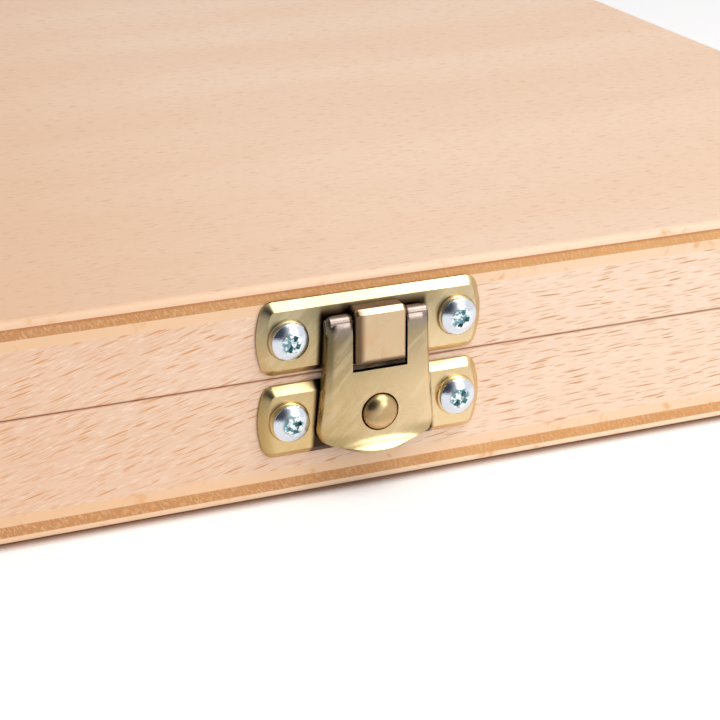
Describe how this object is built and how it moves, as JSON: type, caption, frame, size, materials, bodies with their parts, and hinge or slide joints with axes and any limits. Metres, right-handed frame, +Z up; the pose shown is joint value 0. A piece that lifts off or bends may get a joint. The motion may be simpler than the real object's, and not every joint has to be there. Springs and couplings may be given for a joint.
{
  "type": "wooden watercolour paint box",
  "caption": "Shallow hinged beech box with a brass hasp latch, holding a tray of half pans of watercolour, a brush trough and a white mixing palette.",
  "frame": {"origin": "centre of the box's underside, on the surface it rests on", "axes": "+X to the right along the front, +Y from the latch side to the hinge side, +Z up"},
  "size_m": [0.214, 0.1986, 0.03],
  "materials": {
    "beech_rail": "satin, sealed beech",
    "beech_face_ply": "satin, sealed beech veneer",
    "core_ply": "matt, cut plywood edge",
    "inner_ply": "matt plywood veneer",
    "antique_brass": "satin, antique",
    "zinc_screw": "bright zinc",
    "hinge_brass": "satin",
    "enamelled_tray": "gloss white enamel",
    "pan_plastic": "semi-gloss white",
    "palette_white": "gloss white glaze",
    "paint_lemon_yellow": "dry watercolour cake",
    "paint_golden_yellow": "dry watercolour cake",
    "paint_orange": "dry watercolour cake",
    "paint_vermilion": "dry watercolour cake",
    "paint_scarlet": "dry watercolour cake",
    "paint_carmine": "dry watercolour cake",
    "paint_rose_madder": "dry watercolour cake",
    "paint_violet": "dry watercolour cake",
    "paint_ultramarine": "dry watercolour cake",
    "paint_cobalt_blue": "dry watercolour cake",
    "paint_azure_blue": "dry watercolour cake",
    "paint_turquoise": "dry watercolour cake",
    "paint_emerald_green": "dry watercolour cake",
    "paint_grass_green": "dry watercolour cake",
    "paint_olive_green": "dry watercolour cake",
    "paint_yellow_ochre": "dry watercolour cake",
    "paint_raw_sienna": "dry watercolour cake",
    "paint_burnt_sienna": "dry watercolour cake",
    "paint_red_oxide": "dry watercolour cake",
    "paint_raw_umber": "dry watercolour cake",
    "paint_sepia": "dry watercolour cake",
    "paint_indigo": "dry watercolour cake",
    "paint_neutral_grey": "dry watercolour cake",
    "paint_lamp_black": "dry watercolour cake"
  },
  "bodies": {
    "case": {"base_back_rail": "beech_rail", "base_front_rail": "beech_rail", "base_hinge_screws": "hinge_brass", "base_left_rail": "beech_rail", "base_right_rail": "beech_rail", "bottom_core_ply": "core_ply", "bottom_face_ply": "beech_face_ply", "bottom_inner_ply": "inner_ply", "front_divider": "beech_rail", "keeper_plate_screws": "zinc_screw", "latch_keeper_plate": "antique_brass", "latch_stud": "antique_brass", "left_hinge_base_leaf": "hinge_brass", "left_hinge_pin": "hinge_brass", "rear_divider": "beech_rail", "right_hinge_base_leaf": "hinge_brass", "right_hinge_pin": "hinge_brass"},
    "lid": {"latch_lid_plate": "antique_brass", "left_hinge_lid_leaf": "hinge_brass", "lid_back_rail": "beech_rail", "lid_core_ply": "core_ply", "lid_face_ply": "beech_face_ply", "lid_front_rail": "beech_rail", "lid_hinge_screws": "hinge_brass", "lid_inner_ply": "inner_ply", "lid_left_rail": "beech_rail", "lid_plate_screws": "zinc_screw", "lid_right_rail": "beech_rail", "right_hinge_lid_leaf": "hinge_brass"},
    "hasp": {"latch_hasp": "antique_brass"},
    "pan_rack": {"pan_tray": "enamelled_tray", "front_row_pans": "pan_plastic", "back_row_pans": "pan_plastic", "paint_azure_blue": "paint_azure_blue", "paint_burnt_sienna": "paint_burnt_sienna", "paint_carmine": "paint_carmine", "paint_cobalt_blue": "paint_cobalt_blue", "paint_emerald_green": "paint_emerald_green", "paint_golden_yellow": "paint_golden_yellow", "paint_grass_green": "paint_grass_green", "paint_indigo": "paint_indigo", "paint_lamp_black": "paint_lamp_black", "paint_lemon_yellow": "paint_lemon_yellow", "paint_neutral_grey": "paint_neutral_grey", "paint_olive_green": "paint_olive_green", "paint_orange": "paint_orange", "paint_raw_sienna": "paint_raw_sienna", "paint_raw_umber": "paint_raw_umber", "paint_red_oxide": "paint_red_oxide", "paint_rose_madder": "paint_rose_madder", "paint_scarlet": "paint_scarlet", "paint_sepia": "paint_sepia", "paint_turquoise": "paint_turquoise", "paint_ultramarine": "paint_ultramarine", "paint_vermilion": "paint_vermilion", "paint_violet": "paint_violet", "paint_yellow_ochre": "paint_yellow_ochre"},
    "palette": {"mixing_palette": "palette_white"}
  },
  "joints": [
    {"name": "lid_hinge", "type": "hinge", "parent": "case", "child": "lid", "pos_m": [0, 0.0969, 0.017], "axis": [-1, 0, 0], "range_deg": [0, 180]},
    {"name": "hasp_pivot", "type": "hinge", "parent": "lid", "child": "hasp", "pos_m": [0, -0.0975, 0.0245], "axis": [-1, 0, 0], "range_deg": [0, 130]},
    {"name": "pan_tray_lift", "type": "slide", "parent": "case", "child": "pan_rack", "axis": [0, 0, 1], "range_m": [0, 0.0105]},
    {"name": "palette_lift", "type": "slide", "parent": "case", "child": "palette", "axis": [0, 0, 1], "range_m": [0, 0.0125]}
  ]
}
